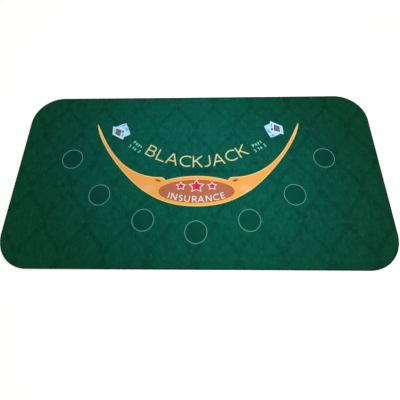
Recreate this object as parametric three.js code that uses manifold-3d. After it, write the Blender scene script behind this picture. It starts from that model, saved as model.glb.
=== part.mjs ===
// A roll-out blackjack table top: a rubber sheet bonded to a printed cloth face, with a stitched edge.
// Millimetres. The origin is the middle of the underside. +X runs along the long edges,
// +Y points from the players' edge to the dealer's edge, and +Z is up.
// The layout is printed in ink. Each closed area of ink is a thin film of its own on the cloth,
// and where inks are printed over one another, the films are stacked in levels.

import * as THREE from 'three';
import { mergeVertices } from 'three/addons/utils/BufferGeometryUtils.js';
import Module from 'manifold-3d';

// ---- Driving dimensions ------------------------------------------------------------------------

const LENGTH = 1800;
const WIDTH = 900;
const CORNER_RADIUS = 155;

// Thicknesses are sixteenths of a millimetre, so that stacked faces meet exactly.
const RUBBER_THICKNESS = 2.25;
const BOND_THICKNESS = 0.125;
const CLOTH_THICKNESS = 0.625;
const INK_THICKNESS = 0.0625;

// The thread round the edge: how far it stands out of the sheet's side and rises over the cloth,
// how wide it lies on the cloth, its clearance to the cut edge and its height over the table.
const OVERLOCK = { outside: 1, rise: 0.5, onCloth: 4.5, clearance: 0.3, lift: 0.25 };

// Betting circles lie on an arc that is symmetrical about the middle one.
// Each circle is one step from the last, and the row turns by these angles at the steps.
const SPOT = { radius: 51.75, line: 2, firstY: -289, step: 253, turnsDeg: [12.4, 28.9, 48.8] };

// The words that are bent into an arc. Their baselines are circles about points on the middle line,
// and lowestY is where a baseline crosses that line.
const GAME_WORD = { text: 'BLACKJACK', capHeight: 61.5, pen: 6.6, gap: 11.5, radius: 510, lowestY: 29.5 };
const OVAL_WORD = { text: 'INSURANCE', capHeight: 31, pen: 4.4, gap: 8.8, radius: 465, lowestY: -150 };

// The two small lines of words beside the arc. Their place is for the right-hand side.
const PAYOUT = {
  lines: ['Pays', '3 to 2'],
  capHeight: 17.5,
  pen: 2.9,
  gap: 4.8,
  lineStep: 29,
  middle: [306, 160],
  turnDeg: 32,
};

// The oval on the band, and the larger ellipse that the band's upper side follows around it.
const OVAL = { y: -95, halfLength: 183, halfWidth: 57 };
const RIM = { y: -95, halfLength: 215, halfWidth: 78, notchX: 152 };

// The right half of the horn-shaped band, from its lowest point round its tip to the shoulder.
const BAND = {
  lowest: [0, -169],
  lowestHandle: [129, -169],
  flank: [242, -102],
  flankHandles: [[197, -129], [348, -40]],
  tip: [534, 283],
  tipHandles: [[522, 174], [494, 222]],
  shoulder: [175, -23],
  shoulderHandle: [410, -23],
  shoulderCorner: [162, -23],
};

// Dark marks where the band seems to fold behind its middle.
const FOLD_MARK = { x: 189, y: -40, halfLength: 18, halfWidth: 6.5, turnDeg: 17 };

// Stars: white outlines with red middles. They are a little lower than wide.
const STARS = [
  { place: 'left', x: -76, y: -69, radius: 27, middle: 18.5, squash: 0.92 },
  { place: 'centre', x: 0, y: -70, radius: 42, middle: 33, squash: 0.86 },
  { place: 'right', x: 76, y: -69, radius: 27, middle: 18.5, squash: 0.92 },
];
const STAR_WAIST = 0.5;

// Playing cards. The places are for the left-hand pair, and the right-hand pair is turned by half a turn.
const CARD_PAIR = { middle: [-402, 240.5] };
const BACK_CARD = { length: 75, width: 52.5, turnDeg: 23.5, middle: [10.7, 2], cornerRadius: 3 };
const FRONT_CARD = [[-47.5, 27.5], [-45.5, -20.5], [14.5, -52.5], [24.5, 7.5]];

// Pairs of steps round a full circle and round one corner of the sheet, steps along one curve of
// an outline, and the angle of one step along a bent pen stroke.
const CIRCLE_STEPS = 24;
const CORNER_STEPS = 10;
const CURVE_STEPS = 14;
const PEN_STEP_DEG = 20;

// ---- Heights -----------------------------------------------------------------------------------

const BOND_Z = RUBBER_THICKNESS;
const CLOTH_Z = BOND_Z + BOND_THICKNESS;
const FACE_Z = CLOTH_Z + CLOTH_THICKNESS;
const inkLevel = (level) => FACE_Z + level * INK_THICKNESS;

// ---- Colours and finishes ----------------------------------------------------------------------

const FINISHES = {
  rubber: { color: 0x17181a, roughness: 0.92 },
  bond: { color: 0xc9c6b4, roughness: 0.7 },
  cloth: { color: 0x0c5644, roughness: 0.95 },
  thread: { color: 0x101213, roughness: 0.85 },
  line: { color: 0xb9dccb, roughness: 0.9 },
  band: { color: 0xf2ae52, roughness: 0.85 },
  oval: { color: 0xb9703f, roughness: 0.85 },
  foldMark: { color: 0xc27a38, roughness: 0.85 },
  gameWord: { color: 0xe6c878, roughness: 0.85 },
  white: { color: 0xf1eee9, roughness: 0.85 },
  red: { color: 0xdd2a3b, roughness: 0.8 },
  mint: { color: 0x96dfc8, roughness: 0.9 },
  cardBack: { color: 0xa9d5e8, roughness: 0.8 },
  cardFront: { color: 0xe9f3f2, roughness: 0.8 },
};

function finish(name) {
  return new THREE.MeshStandardMaterial({ metalness: 0, ...FINISHES[name] });
}

// ---- Solids ------------------------------------------------------------------------------------

const wasm = await Module();
wasm.setup();

/** A closed geometry with its shared corners merged, ready for cutting and joining. */
function merged(geometry) {
  geometry.deleteAttribute('normal');
  geometry.deleteAttribute('uv');
  return mergeVertices(geometry, 1e-4);
}

function toSolid(geometry) {
  const closed = merged(geometry);
  const vertProperties = new Float32Array(closed.attributes.position.array);
  const triVerts = new Uint32Array(closed.index.array);
  return new wasm.Manifold(new wasm.Mesh({ numProp: 3, vertProperties, triVerts }));
}

function toGeometry(solid) {
  const { vertProperties, triVerts } = solid.getMesh();
  const geometry = new THREE.BufferGeometry();
  geometry.setAttribute('position', new THREE.BufferAttribute(vertProperties, 3));
  geometry.setIndex(new THREE.BufferAttribute(triVerts, 1));
  return geometry;
}

/** A flat plate of the shape, from height 0 to the thickness. */
function plate(shape, thickness, curveSegments = CURVE_STEPS) {
  return new THREE.ExtrudeGeometry(shape, { depth: thickness, bevelEnabled: false, curveSegments });
}

const object = new THREE.Group();

/** Adds one named piece to the object or to a group in it, and returns its mesh. */
function addPiece(name, geometry, finishName, z = 0, parent = object) {
  const mesh = new THREE.Mesh(geometry, finish(finishName));
  mesh.name = name;
  mesh.position.z = z;
  parent.add(mesh);
  return mesh;
}

// ---- The sheet ---------------------------------------------------------------------------------

/** The mat's outline as a path on either a shape or a hole, moved outwards by grow. */
function matOutline(grow, path = new THREE.Shape()) {
  const r = CORNER_RADIUS + grow;
  const x = LENGTH / 2 - CORNER_RADIUS;
  const y = WIDTH / 2 - CORNER_RADIUS;
  path.absarc(x, -y, r, -Math.PI / 2, 0);
  path.absarc(x, y, r, 0, Math.PI / 2);
  path.absarc(-x, y, r, Math.PI / 2, Math.PI);
  path.absarc(-x, -y, r, Math.PI, Math.PI * 1.5);
  path.closePath();
  return path;
}

function matSheet(thickness) {
  return plate(matOutline(-OVERLOCK.outside), thickness, CORNER_STEPS);
}

/** An upright wall that follows the mat's edge, between two offsets of its outline. */
function edgeWall(inner, outer, low, high) {
  const ring = matOutline(outer);
  ring.holes.push(matOutline(inner, new THREE.Path()));
  return plate(ring, high - low, CORNER_STEPS).translate(0, 0, low);
}

/** The stitched edge: thread that lies on the cloth and turns down over the side of the sheet. */
function overlock() {
  const sheetEdge = -OVERLOCK.outside;
  const top = FACE_Z + OVERLOCK.rise;
  const onCloth = edgeWall(sheetEdge - OVERLOCK.onCloth, 0, FACE_Z, top);
  const downSide = edgeWall(sheetEdge + OVERLOCK.clearance, 0, OVERLOCK.lift, FACE_Z + OVERLOCK.rise / 2);
  return toGeometry(toSolid(onCloth).add(toSolid(downSide)));
}

addPiece('rubber_base', matSheet(RUBBER_THICKNESS), 'rubber');
addPiece('bonding_film', matSheet(BOND_THICKNESS), 'bond', BOND_Z);
addPiece('face_cloth', matSheet(CLOTH_THICKNESS), 'cloth', CLOTH_Z);
addPiece('edge_overlock', overlock(), 'thread');

// ---- Betting circles ---------------------------------------------------------------------------

function spotRing() {
  const ring = new THREE.Shape().absarc(0, 0, SPOT.radius, 0, Math.PI * 2);
  ring.holes.push(new THREE.Path().absarc(0, 0, SPOT.radius - SPOT.line, 0, Math.PI * 2));
  return plate(ring, INK_THICKNESS, CIRCLE_STEPS);
}

/** Circle middles from left to right. */
function spotPlaces() {
  const right = [];
  const place = new THREE.Vector2(0, SPOT.firstY);
  for (const turn of SPOT.turnsDeg) {
    const angle = THREE.MathUtils.degToRad(turn);
    place.add(new THREE.Vector2(Math.cos(angle), Math.sin(angle)).multiplyScalar(SPOT.step));
    right.push(place.clone());
  }
  const left = right.map((p) => new THREE.Vector2(-p.x, p.y)).reverse();
  return [...left, new THREE.Vector2(0, SPOT.firstY), ...right];
}

spotPlaces().forEach((place, i) => {
  const ring = addPiece(`bet_circle_${i + 1}`, spotRing(), 'line', inkLevel(0));
  ring.position.x = place.x;
  ring.position.y = place.y;
});

// ---- Band, oval and fold marks -----------------------------------------------------------------

/** The band's outline: its right half, and that half mirrored. */
function bandShape() {
  const half = new THREE.Path();
  half.moveTo(...BAND.lowest);
  half.bezierCurveTo(...BAND.lowestHandle, ...BAND.flankHandles[0], ...BAND.flank);
  half.bezierCurveTo(...BAND.flankHandles[1], ...BAND.tipHandles[0], ...BAND.tip);
  half.bezierCurveTo(...BAND.tipHandles[1], ...BAND.shoulderHandle, ...BAND.shoulder);
  const notchAngle = Math.acos(RIM.notchX / RIM.halfLength);
  const notchY = RIM.y + RIM.halfWidth * Math.sin(notchAngle);
  half.quadraticCurveTo(...BAND.shoulderCorner, RIM.notchX, notchY);
  half.absellipse(0, RIM.y, RIM.halfLength, RIM.halfWidth, notchAngle, Math.PI / 2);
  const right = half.getPoints(CURVE_STEPS);
  const left = right.slice(1, -1).map((p) => new THREE.Vector2(-p.x, p.y)).reverse();
  return new THREE.Shape([...right, ...left]);
}

function ovalShape() {
  return new THREE.Shape().absellipse(0, OVAL.y, OVAL.halfLength, OVAL.halfWidth, 0, Math.PI * 2);
}

/** A pointed mark with two bowed sides. */
function foldMarkShape() {
  const { halfLength, halfWidth } = FOLD_MARK;
  const mark = new THREE.Shape();
  mark.moveTo(-halfLength, 0);
  mark.quadraticCurveTo(0, 2 * halfWidth, halfLength, 0);
  mark.quadraticCurveTo(0, -2 * halfWidth, -halfLength, 0);
  return mark;
}

addPiece('horn_band', plate(bandShape(), INK_THICKNESS), 'band', inkLevel(0));
addPiece('band_oval', plate(ovalShape(), INK_THICKNESS, CIRCLE_STEPS), 'oval', inkLevel(1));

for (const [place, side] of [['left', -1], ['right', 1]]) {
  const mark = addPiece(`fold_mark_${place}`, plate(foldMarkShape(), INK_THICKNESS), 'foldMark', inkLevel(1));
  mark.position.x = side * FOLD_MARK.x;
  mark.position.y = FOLD_MARK.y;
  mark.rotation.z = THREE.MathUtils.degToRad(side * FOLD_MARK.turnDeg);
}

// ---- Stars -------------------------------------------------------------------------------------

function starShape(radius, squash) {
  const points = [];
  for (let i = 0; i < 10; i += 1) {
    const r = i % 2 ? radius * STAR_WAIST : radius;
    const angle = Math.PI / 2 + (i * Math.PI) / 5;
    points.push(new THREE.Vector2(r * Math.cos(angle), r * Math.sin(angle) * squash));
  }
  return new THREE.Shape(points);
}

for (const star of STARS) {
  const outline = plate(starShape(star.radius, star.squash), INK_THICKNESS);
  const middle = plate(starShape(star.middle, star.squash), INK_THICKNESS);
  const group = new THREE.Group();
  group.position.set(star.x, star.y, 0);
  addPiece(`star_outline_${star.place}`, outline, 'white', inkLevel(2), group);
  addPiece(`star_middle_${star.place}`, middle, 'red', inkLevel(3), group);
  object.add(group);
}

// ---- Playing cards -----------------------------------------------------------------------------

function backCardShape() {
  const { length, width, cornerRadius: r, turnDeg, middle } = BACK_CARD;
  const x = width / 2 - r;
  const y = length / 2 - r;
  const card = new THREE.Shape();
  card.absarc(x, -y, r, -Math.PI / 2, 0);
  card.absarc(x, y, r, 0, Math.PI / 2);
  card.absarc(-x, y, r, Math.PI / 2, Math.PI);
  card.absarc(-x, -y, r, Math.PI, Math.PI * 1.5);
  const turn = THREE.MathUtils.degToRad(turnDeg);
  const place = new THREE.Vector2(...middle);
  const corners = card.getPoints(4).map((p) => p.rotateAround(new THREE.Vector2(), turn).add(place));
  return new THREE.Shape(corners);
}

/** The front card, drawn leaning, so that its four sides aren't square to one another. */
function frontCardShape() {
  return new THREE.Shape(FRONT_CARD.map(([x, y]) => new THREE.Vector2(x, y)));
}

for (const [place, turn] of [['left', 0], ['right', Math.PI]]) {
  const pair = new THREE.Group();
  const side = place === 'left' ? 1 : -1;
  pair.position.set(side * CARD_PAIR.middle[0], CARD_PAIR.middle[1], 0);
  pair.rotation.z = turn;
  addPiece(`card_back_${place}`, plate(backCardShape(), INK_THICKNESS), 'cardBack', inkLevel(0), pair);
  addPiece(`card_front_${place}`, plate(frontCardShape(), INK_THICKNESS), 'cardFront', inkLevel(1), pair);
  object.add(pair);
}

// ---- Lettering ---------------------------------------------------------------------------------

// A letter is a few strokes of a flat pen. Strokes are given for a capital that is 1 high, from the
// letter's left side, and are cut off level at the baseline and at the letter's top.

/** A straight stroke. It runs on past an end that is to be cut off level. */
function straight(x0, y0, x1, y1, pastEnd = 0, pastStart = 0) {
  const from = new THREE.Vector2(x0, y0);
  const to = new THREE.Vector2(x1, y1);
  const along = to.clone().sub(from).normalize();
  return [from.addScaledVector(along, -pastStart), to.addScaledVector(along, pastEnd)];
}

/** A stroke along part of an ellipse, from one angle to the other in degrees. */
function bend(x, y, radiusX, radiusY, fromDeg, toDeg) {
  const points = [];
  const steps = Math.ceil(Math.abs(toDeg - fromDeg) / PEN_STEP_DEG);
  for (let i = 0; i <= steps; i += 1) {
    const angle = THREE.MathUtils.degToRad(fromDeg + ((toDeg - fromDeg) * i) / steps);
    points.push(new THREE.Vector2(x + radiusX * Math.cos(angle), y + radiusY * Math.sin(angle)));
  }
  return points;
}

/** A bowl: a run to the right, a half turn, and the run back. */
function bowl(left, right, low, high) {
  const half = (high - low) / 2;
  const turnX = right - half * 0.9;
  const start = new THREE.Vector2(left, high);
  const end = new THREE.Vector2(left, low);
  return [start, ...bend(turnX, low + half, right - turnX, half, 90, -90), end];
}

/** Every letter: its width and strokes for a pen of width w, and its height if it isn't a capital's. */
const LETTERS = {
  A: (w) => ({
    width: 1.03,
    strokes: [
      straight(w * 0.55, 0, 0.515, 1, 0.2, 0.2),
      straight(1.03 - w * 0.55, 0, 0.515, 1, 0.2, 0.2),
      straight(0.24, 0.33, 0.79, 0.33),
    ],
  }),
  B: (w) => ({
    width: 0.77,
    strokes: [
      straight(w / 2, 0, w / 2, 1),
      bowl(w / 2, 0.69 - w / 2, 0.53, 1 - w / 2),
      bowl(w / 2, 0.77 - w / 2, w / 2, 0.53),
    ],
  }),
  C: (w) => ({ width: 0.96, strokes: [bend(0.59, 0.5, 0.59 - w / 2, 0.5 - w / 2, 52, 308)] }),
  E: (w) => ({
    width: 0.58,
    strokes: [
      straight(w / 2, 0, w / 2, 1),
      straight(w / 2, w / 2, 0.58, w / 2),
      straight(w / 2, 0.52, 0.53, 0.52),
      straight(w / 2, 1 - w / 2, 0.57, 1 - w / 2),
    ],
  }),
  I: (w) => ({ width: w, strokes: [straight(w / 2, 0, w / 2, 1)] }),
  J: (w) => ({
    width: 0.52,
    strokes: [
      straight(0.52 - w / 2, 0.3, 0.52 - w / 2, 1),
      bend(0.1, 0.31, 0.42 - w / 2, 0.31 - w / 2, 1, -102),
    ],
  }),
  K: (w) => ({
    width: 0.84,
    strokes: [
      straight(w / 2, 0, w / 2, 1),
      straight(w * 0.6, 0.46, 0.75, 1, 0.2),
      straight(0.24, 0.6, 0.76, 0, 0.2),
    ],
  }),
  L: (w) => ({ width: 0.73, strokes: [straight(w / 2, 0, w / 2, 1), straight(w / 2, w / 2, 0.73, w / 2)] }),
  N: (w) => ({
    width: 0.9,
    strokes: [
      straight(w / 2, 0, w / 2, 1),
      straight(w * 0.55, 1, 0.9 - w * 0.55, 0, 0.2, 0.2),
      straight(0.9 - w / 2, 0, 0.9 - w / 2, 1),
    ],
  }),
  P: (w) => ({
    width: 0.6,
    strokes: [straight(w / 2, 0, w / 2, 1), bowl(w / 2, 0.6 - w / 2, 0.44, 1 - w / 2)],
  }),
  R: (w) => ({
    width: 0.8,
    strokes: [
      straight(w / 2, 0, w / 2, 1),
      bowl(w / 2, 0.69 - w / 2, 0.48, 1 - w / 2),
      straight(0.3, 0.5, 0.71, 0, 0.2),
    ],
  }),
  S: (w) => ({
    width: 0.62,
    strokes: [
      bend(0.32, 0.74, 0.3 - w / 2, 0.26 - w / 2, 40, 250),
      straight(0.22, 0.54, 0.4, 0.47),
      bend(0.3, 0.27, 0.32 - w / 2, 0.27 - w / 2, 70, -140),
    ],
  }),
  U: (w) => ({
    width: 0.84,
    strokes: [
      straight(w / 2, 0.34, w / 2, 1),
      bend(0.42, 0.36, 0.42 - w / 2, 0.36 - w / 2, 179, 361),
      straight(0.84 - w / 2, 0.34, 0.84 - w / 2, 1),
    ],
  }),
  a: (w) => ({
    width: 0.56,
    height: 0.72,
    strokes: [
      bend(0.27, 0.36, 0.27 - w / 2, 0.36 - w / 2, 0, 185),
      bend(0.27, 0.36, 0.27 - w / 2, 0.36 - w / 2, 180, 365),
      straight(0.56 - w / 2, 0, 0.56 - w / 2, 0.72),
    ],
  }),
  o: (w) => ({
    width: 0.58,
    height: 0.72,
    strokes: [
      bend(0.29, 0.36, 0.29 - w / 2, 0.36 - w / 2, 0, 185),
      bend(0.29, 0.36, 0.29 - w / 2, 0.36 - w / 2, 180, 365),
    ],
  }),
  s: (w) => ({
    width: 0.46,
    height: 0.72,
    strokes: [
      bend(0.24, 0.53, 0.22 - w / 2, 0.19 - w / 2, 35, 260),
      straight(0.16, 0.41, 0.3, 0.33),
      bend(0.22, 0.2, 0.24 - w / 2, 0.2 - w / 2, 80, -145),
    ],
  }),
  t: (w) => ({
    width: 0.4,
    height: 0.95,
    strokes: [straight(0.2, 0, 0.2, 0.95), straight(0, 0.66, 0.4, 0.66)],
  }),
  y: (w) => ({
    width: 0.58,
    height: 0.72,
    depth: 0.28,
    strokes: [
      straight(0.3, 0.05, w * 0.55, 0.72, 0.1),
      straight(0.58 - w * 0.55, 0.72, 0.17, -0.28, 0.1, 0.1),
    ],
  }),
  2: (w) => ({
    width: 0.58,
    strokes: [
      bend(0.28, 0.71, 0.28 - w / 2, 0.29 - w / 2, 160, -35),
      straight(0.5, 0.56, 0.07, 0.06),
      straight(0, w / 2, 0.58, w / 2),
    ],
  }),
  3: (w) => ({
    width: 0.56,
    strokes: [
      bend(0.24, 0.75, 0.27 - w / 2, 0.25 - w / 2, 150, -90),
      bend(0.24, 0.28, 0.32 - w / 2, 0.28 - w / 2, 90, -150),
    ],
  }),
};
const WORD_SPACE = 0.5;

// Extra space between the letters of a pair, as a share of the capitals' height.
const KERNING = { BL: 0.07, IN: 0.06, KJ: -0.05, LA: -0.06, NS: 0.07, RA: -0.22, UR: 0.12 };

/** A pen stroke along a line of points, as a flat shape of the pen's width. */
function strokeShape(points, pen) {
  const last = points.length - 1;
  const left = [];
  const right = [];
  points.forEach((point, i) => {
    const along = points[Math.min(i + 1, last)].clone().sub(points[Math.max(i - 1, 0)]).normalize();
    const across = new THREE.Vector2(-along.y, along.x).multiplyScalar(pen / 2);
    left.push(point.clone().add(across));
    right.unshift(point.clone().sub(across));
  });
  return new THREE.Shape([...left, ...right]);
}

/** A letter as one solid, with its middle over its own origin and its baseline at height 0 in Y. */
function letterGeometry(letter, capHeight, pen) {
  const { width, height = 1, depth = 0, strokes } = LETTERS[letter](pen / capHeight);
  const solids = strokes.map((points) => {
    const placed = points.map((p) => new THREE.Vector2(p.x - width / 2, p.y).multiplyScalar(capHeight));
    return toSolid(plate(strokeShape(placed, pen), INK_THICKNESS));
  });
  const joined = solids.reduce((all, next) => all.add(next));
  const window = new THREE.BoxGeometry(3 * capHeight, (height + depth) * capHeight, 3 * INK_THICKNESS);
  window.translate(0, ((height - depth) / 2) * capHeight, INK_THICKNESS / 2);
  return toGeometry(joined.intersect(toSolid(window)));
}

/** Where each letter's middle falls along a straight line of words, which is centred on 0. */
function letterPlaces({ capHeight, pen, gap }, text) {
  let reach = -gap;
  const places = [];
  [...text].forEach((letter, i) => {
    if (letter === ' ') {
      reach += WORD_SPACE * capHeight;
      return;
    }
    const width = LETTERS[letter](pen / capHeight).width * capHeight;
    const kerning = KERNING[text.slice(i - 1, i + 1)] ?? 0;
    const start = reach + gap + kerning * capHeight;
    places.push({ letter, along: start + width / 2 });
    reach = start + width;
  });
  return places.map(({ letter, along }) => ({ letter, along: along - reach / 2 }));
}

/** Sets a word along a circle that it reads from the inside, so that it curves like a smile. */
function addBentWord(word, prefix, finishName, z) {
  const centreY = word.lowestY + word.radius;
  letterPlaces(word, word.text).forEach(({ letter, along }, i) => {
    const geometry = letterGeometry(letter, word.capHeight, word.pen);
    const mesh = addPiece(`${prefix}_${i + 1}_${letter}`, geometry, finishName, z);
    const angle = along / word.radius;
    mesh.position.x = word.radius * Math.sin(angle);
    mesh.position.y = centreY - word.radius * Math.cos(angle);
    mesh.rotation.z = angle;
  });
}

/** Sets the two payout lines on one side, sloping towards the middle of the table. */
function addPayout(place, side) {
  const group = new THREE.Group();
  group.position.set(side * PAYOUT.middle[0], PAYOUT.middle[1], 0);
  group.rotation.z = THREE.MathUtils.degToRad(side * PAYOUT.turnDeg);
  PAYOUT.lines.forEach((line, row) => {
    letterPlaces(PAYOUT, line).forEach(({ letter, along }, i) => {
      const geometry = letterGeometry(letter, PAYOUT.capHeight, PAYOUT.pen);
      const name = `payout_${place}_${row + 1}${'abcd'[i]}_${letter}`;
      const mesh = addPiece(name, geometry, 'mint', inkLevel(0), group);
      mesh.position.x = along;
      mesh.position.y = -row * PAYOUT.lineStep - PAYOUT.capHeight / 2;
    });
  });
  object.add(group);
}

addBentWord(GAME_WORD, 'game_word', 'gameWord', inkLevel(0));
addBentWord(OVAL_WORD, 'oval_word', 'white', inkLevel(2));
addPayout('left', -1);
addPayout('right', 1);

export default object;
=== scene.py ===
import math

import bpy
import numpy as np
from mathutils import Euler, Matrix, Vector
from mathutils.geometry import tessellate_polygon


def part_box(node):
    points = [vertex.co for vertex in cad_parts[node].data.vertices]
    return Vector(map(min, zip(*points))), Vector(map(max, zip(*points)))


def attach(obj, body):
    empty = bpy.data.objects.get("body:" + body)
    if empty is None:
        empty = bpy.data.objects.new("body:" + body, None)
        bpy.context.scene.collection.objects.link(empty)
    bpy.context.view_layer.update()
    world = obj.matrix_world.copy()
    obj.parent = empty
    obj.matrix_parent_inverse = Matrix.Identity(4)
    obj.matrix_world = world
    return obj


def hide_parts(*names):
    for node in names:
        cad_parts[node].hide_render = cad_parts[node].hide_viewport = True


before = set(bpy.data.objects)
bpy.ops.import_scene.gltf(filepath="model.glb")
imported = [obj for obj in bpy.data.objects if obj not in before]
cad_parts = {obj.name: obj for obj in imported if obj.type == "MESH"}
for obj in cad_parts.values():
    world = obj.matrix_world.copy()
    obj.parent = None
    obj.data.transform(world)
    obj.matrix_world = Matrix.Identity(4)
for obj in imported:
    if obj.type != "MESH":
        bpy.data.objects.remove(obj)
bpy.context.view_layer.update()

# A roll-out blackjack table top on a pale floor: a rubber sheet, a printed cloth face and a
# stitched edge. Metres. The middle of the underside is the origin, +X runs along the long edges,
# +Y points to the dealer's edge, and +Z is up. The sheets, the stitches and the print take their
# places from the CAD nodes' boxes and outlines.

MM = 0.001

# ---- Places from the frame ----------------------------------------------------------------------


def middle_of(node):
    low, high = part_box(node)
    return (low + high) / 2


EDGE_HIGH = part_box("edge_overlock")[1]
HALF_LENGTH = EDGE_HIGH.x
HALF_WIDTH = EDGE_HIGH.y
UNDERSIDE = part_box("rubber_base")[0].z
CLOTH_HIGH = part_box("face_cloth")[1]
SHEET_INSET = HALF_LENGTH - CLOTH_HIGH.x

# Points that lie closer than this are taken to be level.
SAME_PLACE = 0.01 * MM


def nodes_named(start):
    return sorted(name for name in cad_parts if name.startswith(start))


SPOTS = nodes_named("bet_circle_")


def corner_radius():
    """The radius of the mat's corners: how far before the end the long straight edge stops."""
    corners = [v.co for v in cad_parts["edge_overlock"].data.vertices]
    straight_end = max(co.x for co in corners if co.y > HALF_WIDTH - SAME_PLACE)
    return HALF_LENGTH - straight_end


CORNER_RADIUS = corner_radius()

# ---- Camera, lights and floor -------------------------------------------------------------------

# The camera stands above the players' edge and looks down at the mat.
CAMERA_PLACE = (0.0567, -0.5219, 1.3352)
CAMERA_TURNS_DEG = (23.57, 1.52, 0.40)
CAMERA_SHIFT = (-0.0005, -0.0955)
CAMERA_NEAREST = 0.05
SENSOR_WIDTH_MM = 36
LENS_MM = 26.06

FLOOR_SIZE = 14.0
FLOOR_GAP = 0.2 * MM
FLOOR_COLOUR = (0.97, 0.97, 0.965)
FLOOR_ROUGHNESS = 0.9
FLOOR_SPECULAR = 0.1
ROOM_STRENGTH = 1.03
LAMP_SIZE = (0.35, 1.3)
LAMP_PLACE = (0.19, 0.05, 1.25)
LAMP_TURN_DEG = 22
LAMP_SPREAD_DEG = 82
LAMP_WATTS = 2.6


def add_camera():
    camera = bpy.data.objects.new("camera", bpy.data.cameras.new("camera"))
    bpy.context.scene.collection.objects.link(camera)
    camera.location = CAMERA_PLACE
    camera.rotation_euler = Euler([math.radians(turn) for turn in CAMERA_TURNS_DEG])
    camera.data.sensor_width = SENSOR_WIDTH_MM
    camera.data.lens = LENS_MM
    camera.data.shift_x, camera.data.shift_y = CAMERA_SHIFT
    camera.data.clip_start = CAMERA_NEAREST
    bpy.context.scene.camera = camera


def add_light():
    """A pale room that lights everything evenly, and a soft lamp above the mat."""
    world = bpy.data.worlds.new("pale_room")
    world.use_nodes = True
    background = world.node_tree.nodes["Background"]
    background.inputs["Color"].default_value = (1, 1, 1, 1)
    background.inputs["Strength"].default_value = ROOM_STRENGTH
    bpy.context.scene.world = world

    lamp = bpy.data.objects.new("lamp", bpy.data.lights.new("lamp", "AREA"))
    bpy.context.scene.collection.objects.link(lamp)
    lamp.data.shape = "RECTANGLE"
    lamp.data.size, lamp.data.size_y = LAMP_SIZE
    lamp.data.spread = math.radians(LAMP_SPREAD_DEG)
    lamp.data.energy = LAMP_WATTS
    lamp.location = LAMP_PLACE
    lamp.rotation_euler.z = math.radians(LAMP_TURN_DEG)
    lamp.visible_camera = False
    bpy.context.scene.view_settings.view_transform = "Standard"


def add_floor():
    half = FLOOR_SIZE / 2
    z = UNDERSIDE - FLOOR_GAP
    corners = [(-half, -half, z), (half, -half, z), (half, half, z), (-half, half, z)]
    mesh = bpy.data.meshes.new("floor")
    mesh.from_pydata(corners, [], [(0, 1, 2, 3)])
    floor = bpy.data.objects.new("floor", mesh)
    bpy.context.scene.collection.objects.link(floor)
    material, _, shader = new_material("pale_floor", FLOOR_ROUGHNESS, FLOOR_SPECULAR)
    shader.inputs["Base Color"].default_value = (*FLOOR_COLOUR, 1)
    mesh.materials.append(material)


# ---- Shader arithmetic --------------------------------------------------------------------------

RELIEF_STRENGTH = 0.6


class Field:
    """A number that shader nodes work out at each point of a surface."""

    def __init__(self, tree, socket):
        self.tree = tree
        self.socket = socket

    def __add__(self, other):
        return calculate("ADD", self, other)

    def __sub__(self, other):
        return calculate("SUBTRACT", self, other)

    def __rsub__(self, other):
        return calculate("SUBTRACT", other, self)

    def __mul__(self, other):
        return calculate("MULTIPLY", self, other)

    def __truediv__(self, other):
        return calculate("DIVIDE", self, other)

    __radd__ = __add__
    __rmul__ = __mul__


def calculate(operation, *values):
    """The result of a Math node. Each value is a field or a plain number."""
    tree = next(v.tree for v in values if isinstance(v, Field))
    node = tree.nodes.new("ShaderNodeMath")
    node.operation = operation
    for socket, value in zip(node.inputs, values):
        if isinstance(value, Field):
            tree.links.new(value.socket, socket)
        else:
            socket.default_value = value
    return Field(tree, node.outputs[0])


def ramp(field, start, end):
    """0 up to start, 1 from end on, and a smooth rise between them. It falls where start > end."""
    node = field.tree.nodes.new("ShaderNodeMapRange")
    node.interpolation_type = "SMOOTHSTEP"
    low, high = min(start, end), max(start, end)
    node.inputs["From Min"].default_value = low
    node.inputs["From Max"].default_value = high
    rising = start < end
    node.inputs["To Min"].default_value = 0 if rising else 1
    node.inputs["To Max"].default_value = 1 if rising else 0
    field.tree.links.new(field.socket, node.inputs["Value"])
    return Field(field.tree, node.outputs["Result"])


def choose(factor, a, b):
    """a where factor is 0 and b where it is 1."""
    return a + factor * (b - a)


def length(a, b):
    return calculate("SQRT", a * a + b * b)


def wave(angle):
    """A sine wave that runs from 0 to 1."""
    return calculate("SINE", angle) * 0.5 + 0.5


def crossed_waves(angle, other):
    """The product of two sine waves, moved so that it runs from 0 to 1."""
    return calculate("SINE", angle) * calculate("SINE", other) * 0.5 + 0.5


def mix_colours(factor, a, b):
    """One colour socket that runs from a to b. Each is a colour or such a socket."""
    node = factor.tree.nodes.new("ShaderNodeMix")
    node.data_type = "RGBA"
    factor.tree.links.new(factor.socket, node.inputs[0])
    for socket, colour in ((node.inputs[6], a), (node.inputs[7], b)):
        if isinstance(colour, tuple):
            socket.default_value = (*colour, 1)
        else:
            factor.tree.links.new(colour, socket)
    return node.outputs[2]


def scale_colour(colour, factor):
    """A colour socket's colour, brighter or darker by a field that is 1 where it stays."""
    node = factor.tree.nodes.new("ShaderNodeVectorMath")
    node.operation = "SCALE"
    factor.tree.links.new(colour, node.inputs[0])
    factor.tree.links.new(factor.socket, node.inputs["Scale"])
    return node.outputs["Vector"]


def surface_place(tree):
    """The x, y and z of a point of the object, as fields in metres."""
    where = tree.nodes.new("ShaderNodeTexCoord")
    split = tree.nodes.new("ShaderNodeSeparateXYZ")
    tree.links.new(where.outputs["Object"], split.inputs[0])
    return [Field(tree, socket) for socket in split.outputs]


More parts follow.
